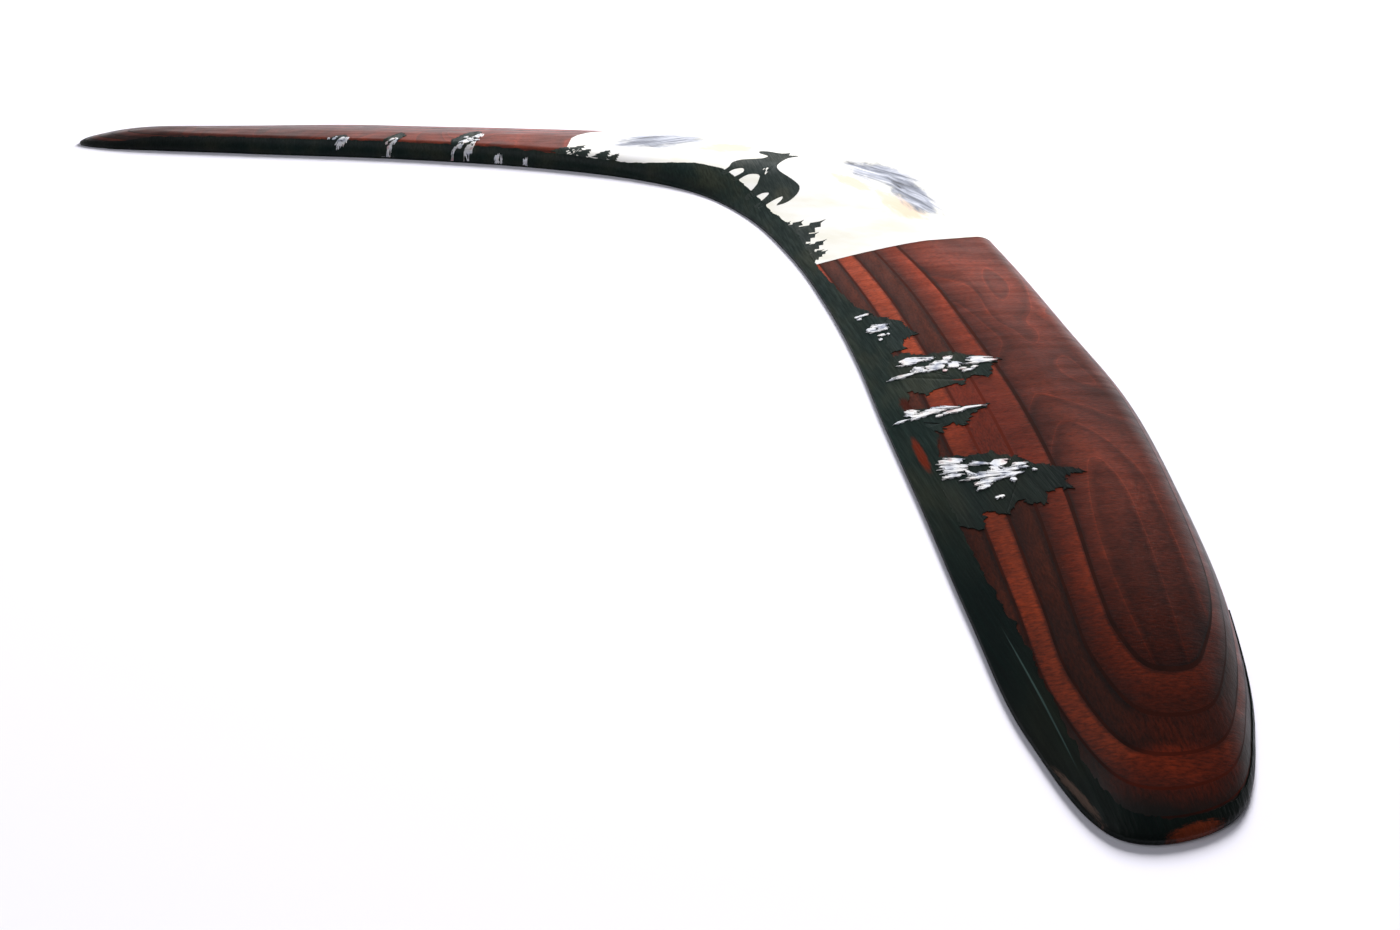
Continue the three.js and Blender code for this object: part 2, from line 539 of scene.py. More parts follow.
def object_axis(nodes, links, axis):
    where = nodes.new("ShaderNodeTexCoord")
    split = nodes.new("ShaderNodeSeparateXYZ")
    links.new(where.outputs["Object"], split.inputs[0])
    return split.outputs[axis]


def bump(nodes, links, shader, height, strength, distance):
    node = nodes.new("ShaderNodeBump")
    node.inputs["Strength"].default_value = strength
    node.inputs["Distance"].default_value = distance
    links.new(height, node.inputs["Height"])
    links.new(node.outputs[0], shader.inputs["Normal"])


def satin_coat(shader, weight=0.5, roughness=0.22):
    shader.inputs["Coat Weight"].default_value = weight
    shader.inputs["Coat Roughness"].default_value = roughness
    shader.inputs["Coat IOR"].default_value = 1.5
    shader.inputs["IOR"].default_value = 1.45


def ellipse_mask(nodes, links, place, degrees, half_length, half_width, rough=0.0, fineness=4.0):
    """1 inside an ellipse on the plan, falling to 0 round it. Lengths and place in millimetres."""
    place = (place[0] * MM, place[1] * MM, 0.0)
    where = turned(nodes, links, degrees, (1 / (half_length * MM), 1 / (half_width * MM), 0.0), place)
    size = nodes.new("ShaderNodeVectorMath")
    size.operation = "LENGTH"
    links.new(where, size.inputs[0])
    distance = size.outputs["Value"]
    if rough:
        grain = noise_node(nodes, links, where, fineness, 4.0, 0.65, 0.4)
        shift = maths(nodes, links, "MULTIPLY", maths(nodes, links, "SUBTRACT", grain, 0.5), rough)
        distance = maths(nodes, links, "ADD", distance, shift)
    return spread(nodes, links, distance, 0.6, 1.15, 1.0, 0.0)


# %% Stained veneer
WING_TURN = -42.6                  # degrees from +X to the line of the +X wing


def stained_wood(name, low, high, tones, fibre_turn, figure=False):
    """Stained veneer between two heights. tones: (height share, colour) from the glue line upwards."""
    finish, nodes, links, shader = new_finish(name)
    height = spread(nodes, links, object_axis(nodes, links, "Z"), low, high)
    height.node.interpolation_type = "LINEAR"
    wander = noise_node(nodes, links, turned(nodes, links, WING_TURN, (18, 60, 60)), 1.0, 3.0)
    height = maths(nodes, links, "ADD", height, maths(nodes, links, "MULTIPLY",
                   maths(nodes, links, "SUBTRACT", wander, 0.5), 0.35))
    colour = stain_pools(nodes, links, ramp(nodes, links, height, tones), 0.78)

    fibres = noise_node(nodes, links, turned(nodes, links, fibre_turn, (850, 2600, 1500)), 1.0, 3.0, 0.7)
    streaks = noise_node(nodes, links, turned(nodes, links, fibre_turn, (60, 330, 200)), 1.0, 3.0, 0.6)
    blotch = noise_node(nodes, links, turned(nodes, links, WING_TURN, (28, 55, 55)), 1.0, 3.0, 0.6, 0.6)
    colour = mix(nodes, links, "MULTIPLY", 0.6, colour,
                 ramp(nodes, links, fibres, [(0.34, 0.18), (0.48, 0.90), (0.64, 1.75)]))
    colour = mix(nodes, links, "MULTIPLY", 0.45, colour,
                 ramp(nodes, links, streaks, [(0.3, 0.55), (0.52, 1.0), (0.72, 1.4)]))
    colour = mix(nodes, links, "MULTIPLY", 0.75, colour,
                 ramp(nodes, links, blotch, [(0.28, 0.45), (0.5, 0.95), (0.75, 1.6)]))
    if figure:
        colour = growth_rings(nodes, links, colour)
    colour = stain_and_sheen_by_reach(nodes, links, colour)
    colour = tip_shade(nodes, links, colour)
    links.new(colour, shader.inputs["Base Color"])

    grit = noise_node(nodes, links, turned(nodes, links, WING_TURN, (700, 700, 700)), 1.0, 2.0)
    links.new(spread(nodes, links, streaks, 0.3, 0.7, 0.50, 0.36), shader.inputs["Roughness"])
    relief = maths(nodes, links, "ADD", fibres, maths(nodes, links, "MULTIPLY", grit, 0.4))
    bump(nodes, links, shader, relief, 0.35, 0.00012)
    shader.inputs["Specular IOR Level"].default_value = 0.34
    satin_coat(shader, 0.18, 0.22)
    return finish


STAIN_POOLS = [                    # tone, place, turn, half length, half width
    ((0.115, 0.0125, 0.0040), (177.0, -44.5), WING_TURN, 27.0, 7.5),
    ((0.050, 0.0066, 0.0022), (240.5, -91.0), 50, 10.0, 4.4),
    ((0.120, 0.0125, 0.0030), (243.6, -99.4), 52, 11.0, 4.6),
]


def stain_pools(nodes, links, colour, strength):
    """Pools of stain on the near wing, where hand sanding has blurred the layers into each other."""
    for tone, place, degrees, half_length, half_width in STAIN_POOLS:
        mask = ellipse_mask(nodes, links, place, degrees, half_length, half_width, 0.9, 1.5)
        colour = mix(nodes, links, "MIX", maths(nodes, links, "MULTIPLY", mask, strength), colour, tone)
    return colour


def stain_and_sheen_by_reach(nodes, links, colour):
    """Lighter and redder towards the elbow, partly thinner stain and partly painted sheen; darker at the
    tips.
    """
    # Painted sheen: the colour is lifted towards the elbow, partly for thinner stain and partly for varnish
    # seen at a low angle.
    reach = maths(nodes, links, "ABSOLUTE", object_axis(nodes, links, "X"))
    elbow_sheen_and_thin_stain = spread(nodes, links, reach, 0.105, 0.190, 2.40, 1.10)
    deep = spread(nodes, links, reach, 0.195, 0.232, 1.0, 0.56)
    return mix(nodes, links, "MULTIPLY", 1.0, colour, maths(nodes, links, "MULTIPLY", elbow_sheen_and_thin_stain, deep))


def growth_rings(nodes, links, colour):
    """The tall loops of a peeled face veneer: contour lines of a slow, stretched noise."""
    bend = noise_node(nodes, links, turned(nodes, links, WING_TURN, (11, 36, 0)), 1.0, 1.0, 0.45, 0.6)
    rings = maths(nodes, links, "FRACT", maths(nodes, links, "MULTIPLY", bend, 8.0))
    late_wood = ramp(nodes, links, rings, [(0.0, 2.1), (0.05, 1.2), (0.6, 0.9), (0.88, 0.5), (0.97, 1.0)])
    return mix(nodes, links, "MULTIPLY", 0.75, colour, late_wood)


def tip_shade(nodes, links, colour):
    """A dark shade low on the board, strongest round the tips."""
    reach = maths(nodes, links, "ABSOLUTE", object_axis(nodes, links, "X"))
    cloudy = noise_node(nodes, links, turned(nodes, links, 0, (60, 60, 60)), 1.0, 4.0)
    depth = spread(nodes, links, reach, 0.18, 0.245, 0.0015, 0.0036)
    low = maths(nodes, links, "DIVIDE", object_axis(nodes, links, "Z"), depth)
    low = maths(nodes, links, "ADD", low, maths(nodes, links, "MULTIPLY", cloudy, 0.5))
    dark = spread(nodes, links, low, 0.65, 1.25, 0.94, 0.0)
    return mix(nodes, links, "MIX", dark, colour, (0.0045, 0.0042, 0.0036))


# %% [markdown]
# Each veneer has its own tones. The numbers are read up the layer: the dark line at the glue, the body
# of the band, and its upper edge.

# %% The veneers' finishes
DARK = (0.0100, 0.0020, 0.0010)
LONG_TONES = [(0.0, DARK), (0.14, (0.022, 0.0038, 0.0015)), (0.75, (0.036, 0.0066, 0.0024)), (1.0, DARK)]
CORE_TONES = [(0.0, (0.04, 0.006, 0.002)), (0.1, (0.120, 0.0160, 0.0046)),
              (0.85, (0.155, 0.0230, 0.0072)), (1.0, (0.05, 0.008, 0.003))]
CROSS_TONES = [(0.0, (0.026, 0.0040, 0.0015)), (0.45, (0.066, 0.0078, 0.0021)),
               (0.93, (0.108, 0.0135, 0.0038)), (1.0, (0.045, 0.0062, 0.0022))]
FACE_TONES = [(0.0, DARK), (0.08, (0.034, 0.0040, 0.0013)), (0.5, (0.056, 0.0078, 0.0028)),
              (1.0, (0.070, 0.0100, 0.0038))]
VENEERS = [                        # node, tones, degrees from the wing's line to the fibres, growth rings
    ("back_veneer", FACE_TONES, 0, True),
    ("lower_cross_veneer", CROSS_TONES, 90, False),
    ("lower_long_veneer", LONG_TONES, 0, False),
    ("core_veneer", CORE_TONES, 90, False),
    ("upper_long_veneer", LONG_TONES, 0, False),
    ("upper_cross_veneer", CROSS_TONES, 90, False),
    ("face_veneer", FACE_TONES, 90, True),
]

# %% [markdown]
# ## The seven veneers and six films of glue
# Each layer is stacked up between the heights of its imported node. The face veneer gets more contours,
# because the long shallow part of the bevel is in it. The back veneer gets extra ones low down, where
# its edge is eased.

# %% Model the layers
def layer_heights(node, count):
    low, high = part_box(node)
    low, high = low.z - BASE, high.z - BASE
    if node == "back_veneer":
        return [0.0, 0.1 * MM, 0.3 * MM, EDGE, high]
    if node == "face_veneer":
        steps = np.linspace(0, 1, count)
        return list(low + (high - low) * (1 - (1 - steps) ** 1.7))
    return list(np.linspace(low, high, count))


def glue_finish():
    finish, nodes, links, shader = new_finish("glue_line")
    grain = noise_node(nodes, links, turned(nodes, links, WING_TURN, (300, 300, 300)), 1.0)
    colour = ramp(nodes, links, grain, [(0.3, (0.012, 0.0024, 0.0011)), (0.7, (0.030, 0.0050, 0.0020))])
    colour = stain_and_sheen_by_reach(nodes, links, stain_pools(nodes, links, colour, 0.5))
    links.new(colour, shader.inputs["Base Color"])
    links.new(spread(nodes, links, grain, 0.3, 0.7, 0.5, 0.65), shader.inputs["Roughness"])
    shader.inputs["Specular IOR Level"].default_value = 0.2
    satin_coat(shader, 0.08, 0.3)
    return finish


for node, tones, turn, has_rings in VENEERS:
    low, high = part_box(node)
    is_face = node == "face_veneer"
    veneer = stacked(node + "_sanded", layer_heights(node, 12 if is_face else 5), crisp=not is_face)
    smooth(veneer, 40)
    finish = stained_wood(node + "_stain", low.z, high.z, tones, WING_TURN + turn, has_rings)
    hand_in(veneer, finish, (node,))
    print(veneer.name, len(veneer.data.polygons), "faces")

glue_line = glue_finish()
for number in range(1, 7):
    node = f"glue_film_{number}"
    film = stacked(node + "_sanded", layer_heights(node, 2), crisp=True)
    smooth(film, 40)
    hand_in(film, glue_line, (node,))

# %% [markdown]
# ## Laying paint on the wood
# Paint is a real layer here, about a tenth of a millimetre thick, as on the hand-painted original. A
# painted shape starts as a flat, filled outline or a flat grid. It is draped on the blank point by point,
# and a Solidify modifier then gives it its thickness. Thick daubs of snow stand proud of the thin dark
# coats under them, so they catch the light along their edges.

# %% Helpers for paint
UNDERCOAT = 0.08 * MM
DARK_COAT = 0.17 * MM
TREE_COAT = 0.12 * MM
DAUB = 0.34 * MM


def drape(piece):
    """Lays every point of a flat piece on the sanded wood below it."""
    points = get_points(piece)
    for point in points:
        hit = blank_tree.ray_cast(Vector((point[0], point[1], 0.1)), Vector((0, 0, -1)))[0]
        if hit is None:
            hit = blank_tree.find_nearest(Vector((point[0], point[1], BASE + EDGE)))[0]
        point[:] = hit
    set_points(piece, points)


def thicken(piece, thickness, degrees=50):
    """Gives a draped sheet its thickness, outwards from the wood."""
    if sum(face.normal.z for face in piece.data.polygons) < 0:
        pick(piece)
        bpy.ops.object.mode_set(mode="EDIT")
        bpy.ops.mesh.select_all(action="SELECT")
        bpy.ops.mesh.flip_normals()
        bpy.ops.object.mode_set(mode="OBJECT")
    apply_modifier(piece, "SOLIDIFY", thickness=thickness, offset=1.0)
    outward(piece)
    smooth(piece, degrees)


def patch(name, outline, cuts=2):
    """A flat filled outline, in millimetres, cut up finely enough to be draped."""
    deselect()
    bpy.ops.mesh.primitive_circle_add(vertices=len(outline), radius=1.0, fill_type="NGON")
    piece = bpy.context.object
    piece.name = name
    set_points(piece, np.column_stack((np.array(outline, float) * MM, np.zeros(len(outline)))))
    bpy.ops.object.mode_set(mode="EDIT")
    bpy.ops.mesh.select_all(action="SELECT")
    bpy.ops.mesh.quads_convert_to_tris(quad_method="SHORTEST_DIAGONAL", ngon_method="CLIP")
    bpy.ops.mesh.subdivide(number_cuts=cuts)
    bpy.ops.object.mode_set(mode="OBJECT")
    return piece


def copy_of(piece, name):
    pick(piece)
    bpy.ops.object.duplicate()
    twin = bpy.context.object
    twin.name = name
    return twin


def join(pieces, name):
    pick(pieces[0])
    for piece in pieces:
        piece.select_set(True)
    bpy.ops.object.join()
    pieces[0].name = name
    return pieces[0]


def curved(outline, per_span=4):
    """A smooth closed curve through the outline's points."""
    outline = np.array(outline, float)
    return curve_at(outline, np.arange(len(outline) * per_span) / per_span)


def ragged(outline, step, depth, seed):
    """The outline with a point every step or so, each one moved a little, like a brushed edge."""
    result = []
    for a, b in zip(outline, outline[1:] + outline[:1]):
        a, b = np.array(a, float), np.array(b, float)
        count = max(1, round(np.linalg.norm(b - a) / step))
        for i in range(count):
            x, y = a + (b - a) * i / count
            sideways, forwards = (noise.noise(Vector((x * 1.9, y * 1.9, seed + k))) for k in (0.0, 50.0))
            result.append((x + sideways * depth, y + forwards * depth))
    return result


# %% [markdown]
# Paint colours change a little from place to place. The clouds, tints, worn spots and one long scratch
# are all soft ellipses on the plan, stretched and roughened by noise.

# %% Finishes of the paint
def dark_paint(name, worn=(), shine=0.5):
    """Blue-black paint, lightened to a grey painted sheen towards the elbow and darker towards the tips.

    worn lists spots: colour, place, degrees, half length, half width, roughness.
    """
    finish, nodes, links, shader = new_finish(name)
    broad = noise_node(nodes, links, turned(nodes, links, WING_TURN, (40, 90, 90)), 1.0, 3.0)
    bristles = noise_node(nodes, links, turned(nodes, links, WING_TURN + 8, (130, 1500, 900)), 1.0, 3.0)
    colour = ramp(nodes, links, broad, [(0.35, (0.0022, 0.0062, 0.0056)), (0.5, (0.0045, 0.0085, 0.0070)),
                                        (0.68, (0.0100, 0.0125, 0.0085))])
    colour = mix(nodes, links, "MULTIPLY", 0.6, colour,
                 ramp(nodes, links, bristles, [(0.3, 0.55), (0.5, 0.95), (0.72, 1.5)]))
    # Painted sheen: the paint is lightened towards the elbow, where varnish seen at a low angle shines, and
    # darkened at the tips.
    reach = maths(nodes, links, "ABSOLUTE", object_axis(nodes, links, "X"))
    colour = mix(nodes, links, "MULTIPLY", 1.0, colour, spread(nodes, links, reach, 0.15, 0.22, 2.3, 0.8))
    for tint, place, degrees, half_length, half_width, rough in worn:
        mask = ellipse_mask(nodes, links, place, degrees, half_length, half_width, rough)
        colour = mix(nodes, links, "MIX", mask, colour, tint)
    links.new(colour, shader.inputs["Base Color"])
    links.new(spread(nodes, links, bristles, 0.3, 0.7, 0.55, 0.38), shader.inputs["Roughness"])
    bump(nodes, links, shader, bristles, 0.6, 0.0003)
    shader.inputs["Specular IOR Level"].default_value = shine
    satin_coat(shader, 0.25 * shine, 0.25)
    return finish


def snow_paint():
    """White daubs with blue-grey and pink left in the brush."""
    finish, nodes, links, shader = new_finish("snow_paint")
    tint = noise_node(nodes, links, turned(nodes, links, WING_TURN, (260, 260, 260)), 1.0, 2.0)
    hairs = noise_node(nodes, links, turned(nodes, links, 40, (260, 2600, 900)), 1.0, 2.0)
    colour = ramp(nodes, links, tint, [(0.30, (0.28, 0.31, 0.42)), (0.43, (0.80, 0.82, 0.88)),
                                       (0.60, (0.93, 0.92, 0.92)), (0.74, (0.62, 0.36, 0.38))])
    colour = mix(nodes, links, "MULTIPLY", 0.5, colour,
                 ramp(nodes, links, hairs, [(0.30, 0.35), (0.46, 0.95), (0.7, 1.1)]))
    links.new(colour, shader.inputs["Base Color"])
    links.new(spread(nodes, links, hairs, 0.3, 0.7, 0.55, 0.35), shader.inputs["Roughness"])
    bump(nodes, links, shader, hairs, 0.5, 0.0002)
    satin_coat(shader, 0.2, 0.25)
    return finish


CLOUDS = [                         # place, turn, half length, half width
    ((-49, 58), 62, 20, 13),
    ((-36, 91), 20, 13, 5),
    ((46, 82), -18, 20, 9),
    ((70, 69), -36, 24, 6),
]
TINTS = [((74, 57), -30, 18, 5), ((-20, 68), 40, 12, 7), ((46, 66), -20, 14, 4)]


def sky_paint():
    """White paint with grey, streaked clouds and faint cream and orange tints."""
    finish, nodes, links, shader = new_finish("sky_paint")
    patchy = noise_node(nodes, links, turned(nodes, links, 10, (30, 60, 60)), 1.0, 4.0)
    colour = ramp(nodes, links, patchy, [(0.35, (0.84, 0.82, 0.72)), (0.5, (0.92, 0.91, 0.87)),
                                         (0.7, (0.93, 0.92, 0.95))])
    for place, degrees, half_length, half_width in TINTS:
        mask = ellipse_mask(nodes, links, place, degrees, half_length, half_width, 1.6, 1.6)
        colour = mix(nodes, links, "MIX", maths(nodes, links, "MULTIPLY", mask, 0.6),
                     colour, (0.86, 0.56, 0.34))
    for place, degrees, half_length, half_width in CLOUDS:
        mask = ellipse_mask(nodes, links, place, degrees, half_length, half_width, 1.5, 1.5)
        along_cloud = turned(nodes, links, degrees + 12, (45, 330, 0))
        streak = noise_node(nodes, links, along_cloud, 1.0, 4.0, 0.6, 0.8)
        grey = ramp(nodes, links, streak, [(0.32, (0.05, 0.055, 0.07)), (0.45, (0.20, 0.22, 0.28)),
                                           (0.57, (0.48, 0.51, 0.61)), (0.70, (0.93, 0.93, 0.95))])
        colour = mix(nodes, links, "MIX", mask, colour, grey)
    links.new(colour, shader.inputs["Base Color"])
    bristles = noise_node(nodes, links, turned(nodes, links, -20, (120, 1300, 900)), 1.0, 2.0)
    links.new(spread(nodes, links, bristles, 0.3, 0.7, 0.42, 0.30), shader.inputs["Roughness"])
    bump(nodes, links, shader, bristles, 0.3, 0.0001)
    satin_coat(shader, 0.3, 0.2)
    return finish


# %% [markdown]
# ## The white band round the elbow
# The band is a strip of paint right across the elbow and down its outer edge. It is cut out of a copy of
# the blank: one straight cut on the near side, a fan of short cuts that makes the curved far edge, and a
# level cut that leaves the underside bare.

# %% White band
NEAR_EDGE = [(84.5, 6), (109.5, 48), (118, 62)]
FAR_EDGE = [(-54, 15), (-63, 21), (-76, 33), (-84, 48), (-87, 56), (-93, 73), (-99, 90)]
BAND_FOOT = 0.32 * MM              # the white paint stops this far above the underside


def keep_side(piece, a, b, side):
    """Cuts a piece by the upright plane through a and b, in millimetres, and keeps the side's part."""
    a, b = np.array(a, float) * MM, np.array(b, float) * MM
    along = b - a
    normal = np.array((along[1], -along[0]))
    if normal @ (np.array(side) * MM - a) > 0:
        normal = -normal
    pick(piece)
    bpy.ops.object.mode_set(mode="EDIT")
    bpy.ops.mesh.select_mode(type="FACE")
    bpy.ops.mesh.select_all(action="SELECT")
    bpy.ops.mesh.bisect(plane_co=(*a, 0), plane_no=(*normal, 0), clear_outer=True, threshold=1e-6)
    bpy.ops.object.mode_set(mode="OBJECT")


white_band = copy_of(blank, "white_band")
for edge in (NEAR_EDGE, FAR_EDGE):
    for a, b in zip(edge, edge[1:]):
        keep_side(white_band, a, b, (0, 60))
bpy.ops.object.mode_set(mode="EDIT")
bpy.ops.mesh.select_all(action="SELECT")
bpy.ops.mesh.bisect(plane_co=(0, 0, BASE + BAND_FOOT), plane_no=(0, 0, -1), clear_outer=True, threshold=1e-6)
bpy.ops.object.mode_set(mode="OBJECT")
thicken(white_band, UNDERCOAT, 40)
hand_in(white_band, sky_paint())
print("white band:", len(white_band.data.polygons), "faces")

# %% [markdown]
# ## The dark coat along the inner edge
# One dark coat runs along the whole inner edge, from the round of one tip to the other. It covers the
# square edge and reaches a few millimetres up the wood. At the elbow it rises into a hillside in front
# of the white band. It is a long grid: each column starts low on the square edge, goes up over the rim
# and ends at the coat's brushed border, whose reach at each place on the outline is listed.

# %% Edge coat
COAT_REACH = [                     # place on the outline, reach in millimetres
    (7, 0.4), (8, 0.9), (8.5, 1.2), (9, 1.6), (9.5, 2.2), (10, 3.2), (10.5, 4.8), (11, 6), (11.5, 6),
    (12, 5), (12.5, 4.6), (13, 4.5), (13.2, 5), (13.5, 7), (13.7, 9), (14, 6.5), (14.4, 7), (15, 8),
    (15.4, 9), (15.7, 7), (16, 5.5), (16.3, 4.5), (16.7, 4), (17, 5), (17.4, 7), (17.85, 7.2), (18.25, 9.5),
    (18.6, 11.5), (19, 14.5), (19.35, 13), (19.7, 7), (20, 3.6), (20.3, 3.3), (21.3, 4.2), (22, 3.8),
    (25, 3.4), (26, 3.1), (27, 2.6), (29, 2.6), (30, 1.6), (30.4, 0.5),
]
COAT_FOOT = (0.02, 0.09, 0.3)      # heights, in millimetres, of the rows under the rim
COAT_ROWS = (0.0, 0.01, 0.03, 0.07, 0.13, 0.2, 0.3, 0.45, 0.6, 0.75, 0.88, 1.0)


def laid_grid(name, columns, rows, place):
    """A grid whose points go where place(column share, row number) says, as arrays."""
    deselect()
    bpy.ops.mesh.primitive_grid_add(x_subdivisions=columns - 1, y_subdivisions=rows - 1, size=2.0)
    piece = bpy.context.object
    piece.name = name
    flat = get_points(piece)
    across = (flat[:, 0] + 1) / 2
    row = np.rint((flat[:, 1] + 1) / 2 * (rows - 1)).astype(int)
    set_points(piece, place(across, row))
    return piece


def brushed(along, seed):
    """A small ragged shift, in millimetres, at a place on the outline."""
    coarse = noise.noise(Vector((along * 9.0, seed, 0.0)))
    fine = noise.noise(Vector((along * 34.0, seed, 7.0)))
    return 0.9 * coarse + 0.45 * fine


def coat_place(across, row):
    u = COAT_REACH[0][0] + across * (COAT_REACH[-1][0] - COAT_REACH[0][0])
    places, reaches = zip(*COAT_REACH)
    reach = np.interp(u, places, reaches)
    shifts = np.array([brushed(float(v), 3.0) for v in u])
    reach = np.maximum(reach + shifts * np.minimum(reach / 4, 1), 0.1) * MM
    rim = curve_at(RIM, u)
    foot = len(COAT_FOOT)
    low = np.array(COAT_FOOT)[np.minimum(row, foot - 1)] * MM
    eased = ROUNDING * (1 - np.sqrt(1 - (1 - np.minimum(low / ROUNDING, 1)) ** 2))
    inset = np.where(row < foot, eased, reach * np.array(COAT_ROWS)[np.maximum(row - foot, 0)])
    spot = rim + inwards_at(u) * inset[:, None]
    points = np.column_stack((spot, BASE + np.where(row < foot, low, EDGE)))
    for i in np.flatnonzero(row > foot):
        top = surface_z(points[i, 0], points[i, 1])
        points[i, 2] = BASE + EDGE if top is None else top
    return points


edge_coat = laid_grid("edge_coat", 1300, len(COAT_FOOT + COAT_ROWS), coat_place)
thicken(edge_coat, DARK_COAT, 60)
RED_WOOD = (0.105, 0.0125, 0.0035)
BROWN_WOOD = (0.045, 0.007, 0.0028)
WORN_EDGE = [
    (RED_WOOD, (171.2, -58.9), -38, 7.0, 1.0, 0.8),
    (BROWN_WOOD, (175, -56), -40, 6.0, 1.2, 1.0),
    (BROWN_WOOD, (158, -45.5), -30, 5.0, 1.6, 1.2),
    ((0.030, 0.052, 0.048), (222.5, -99.9), -36.5, 13.5, 0.14, 0.5),
    ((0.070, 0.045, 0.035), (235.4, -110.9), -20, 5.0, 0.45, 1.8),
    ((0.13, 0.022, 0.007), (247.9, -105.0), 64, 4.2, 0.8, 1.4),
]
hand_in(edge_coat, dark_paint("edge_paint", WORN_EDGE, 0.14))
print("edge coat:", len(edge_coat.data.polygons), "faces")

# %% [markdown]
# ## The hillside animal and trees
# A plain four-legged animal stands on the crest of the hill, head up. Its outline is a smooth curve
# through a few points. The trees on the hill are all copies of one ragged conifer, scaled and leaned.

# %% Animal
ANIMAL = [
    (2.0, 44.4), (4.2, 44.0), (3.4, 49.0), (5.2, 52.2), (8.2, 49.6), (8.8, 43.0), (11.2, 42.6), (11.2, 49.4),
    (14.4, 51.4), (18.4, 47.2), (21.2, 42.2), (23.6, 35.4), (26.4, 34.8), (26.6, 41.0), (28.6, 42.4),
    (30.8, 37.4), (31.6, 32.2), (34.6, 31.4), (34.4, 38.4), (35.0, 42.4), (36.8, 40.4), (38.6, 36.0),
    (40.0, 39.6), (38.4, 46.0), (34.4, 51.6), (27.0, 55.2), (18.0, 58.4), (12.6, 62.6), (9.6, 68.0),
    (7.8, 74.0), (8.6, 78.6), (5.4, 76.6), (3.4, 79.2), (1.6, 76.6), (-4.8, 75.0), (-6.8, 72.8),
    (-4.4, 71.0), (0.4, 70.4), (1.2, 66.0), (-2.8, 59.6), (-2.6, 54.4), (0.2, 50.0),
]
hill_paint = dark_paint("hill_paint")
animal = patch("hill_animal", curved(ANIMAL, 3), 4)
drape(animal)
thicken(animal, DARK_COAT)
hand_in(animal, hill_paint)
print("animal:", len(animal.data.polygons), "faces")

# %% Trees on the hill
CONIFER_SIDE = [(0.10, -0.1), (0.09, 0.08), (0.52, 0.06), (0.30, 0.24), (0.44, 0.27), (0.22, 0.44),
                (0.34, 0.5), (0.13, 0.64), (0.22, 0.72), (0.05, 0.84)]
CONIFER = CONIFER_SIDE + [(0.0, 1.0)] + [(-x * 0.9, y + 0.04) for x, y in CONIFER_SIDE[::-1]]
HILL_TREES = [                     # foot, height, width, lean in degrees, towards -X
    ((62.4, 14.8), 19, 13, -1), ((57.6, 17.6), 13, 11, 6), ((66.6, 12.0), 13, 10, -6),
    ((53.4, 21.0), 7, 7, 4), ((70.4, 9.6), 8, 7, -8), ((73.8, 8.6), 13, 9, -2), ((77.4, 7.6), 8, 6, -10),
    ((79.6, 6.6), 9, 6, -4), ((-58.6, 17.0), 14, 11, 16), ((-63.4, 16.4), 8, 8, 10),
    ((-54.4, 20.6), 8, 8, 10), ((-46.4, 24.2), 9, 8, 18), ((-42.0, 26.4), 6, 6, 10),
]
seedling = patch("seedling", CONIFER, 2)


def planted(foot, height, width, lean):
    tree = copy_of(seedling, "tree")
    x, y = get_points(tree)[:, 0] / MM * width, get_points(tree)[:, 1] / MM * height
    turn = math.radians(lean)
    points = np.column_stack((foot[0] + x * math.cos(turn) - y * math.sin(turn),
                              foot[1] + x * math.sin(turn) + y * math.cos(turn), 0 * x)) * MM
    set_points(tree, points)
    return tree


hill_trees = join([planted(*row) for row in HILL_TREES], "hill_trees")
drape(hill_trees)
thicken(hill_trees, TREE_COAT)
hand_in(hill_trees, hill_paint)
pick(seedling)
bpy.ops.object.delete()
print("hill trees:", len(hill_trees.data.polygons), "faces")

# %% [markdown]
# ## Snowy conifers on the wings
# Each conifer lies across the wing, its foot in the dark edge coat and its tip towards the outer side.
# A ragged dark mass is painted first. The snow is then daubed on with single strokes of a small brush:
# one daub is modelled, and every stroke is a copy of it, stretched and turned.

# %% Dark masses of the conifers
MASSES = {
    "small_conifers_dark": [(110, -15.5), (114, -11.0), (118, -11.4), (121.5, -13.4), (124.5, -12.6),
                            (129, -12.2), (132.5, -14.6), (137.5, -16.4), (136.5, -20.5), (140, -24),
                            (137, -29), (133, -33)],
    "first_conifer_dark": [(140, -38), (139, -31), (141, -25.6), (146, -24.6), (149.4, -20.2), (154, -19.8),
                           (161.4, -17.2), (161.4, -21), (164.4, -25.6), (160.2, -27.6), (161.6, -32),
                           (157, -33.4), (158, -39), (153.6, -39.6), (151, -45.5), (146, -43)],
    "second_conifer_dark": [(156, -52), (158.4, -46.2), (162, -43), (166, -40.4), (171.4, -35.8),
                            (170.4, -41), (172, -45.4), (168, -46.4), (169.8, -50), (165.6, -51.4),
                            (164.4, -58), (160, -56)],
    "third_conifer_dark": [(171, -65), (173.6, -58.8), (178, -55.6), (182, -51.2), (186.6, -50.2),
                           (190.4, -50.4), (199.6, -47.6), (197.2, -51.8), (200.6, -54), (197.8, -57.6),
                           (199.8, -61.2), (195, -62.2), (196.4, -67.2), (192.2, -68), (195.6, -73),
                           (190, -74), (188, -81), (180, -76)],
    "far_conifer_1_dark": [(-144, -44), (-149, -35), (-147.6, -31.4), (-143, -33), (-141, -41)],
    "far_conifer_2_dark": [(-122, -30), (-131, -21.4), (-135, -12.6), (-129, -13.6), (-124, -19.6),
                           (-118, -27)],
    "far_conifer_3_dark": [(-97, -12), (-108, -4), (-113, 4), (-117, 13.6), (-108, 10.4), (-103, 4),
                           (-98, 1), (-92, -9)],
}
tree_paint = dark_paint("conifer_paint", (), 0.3)
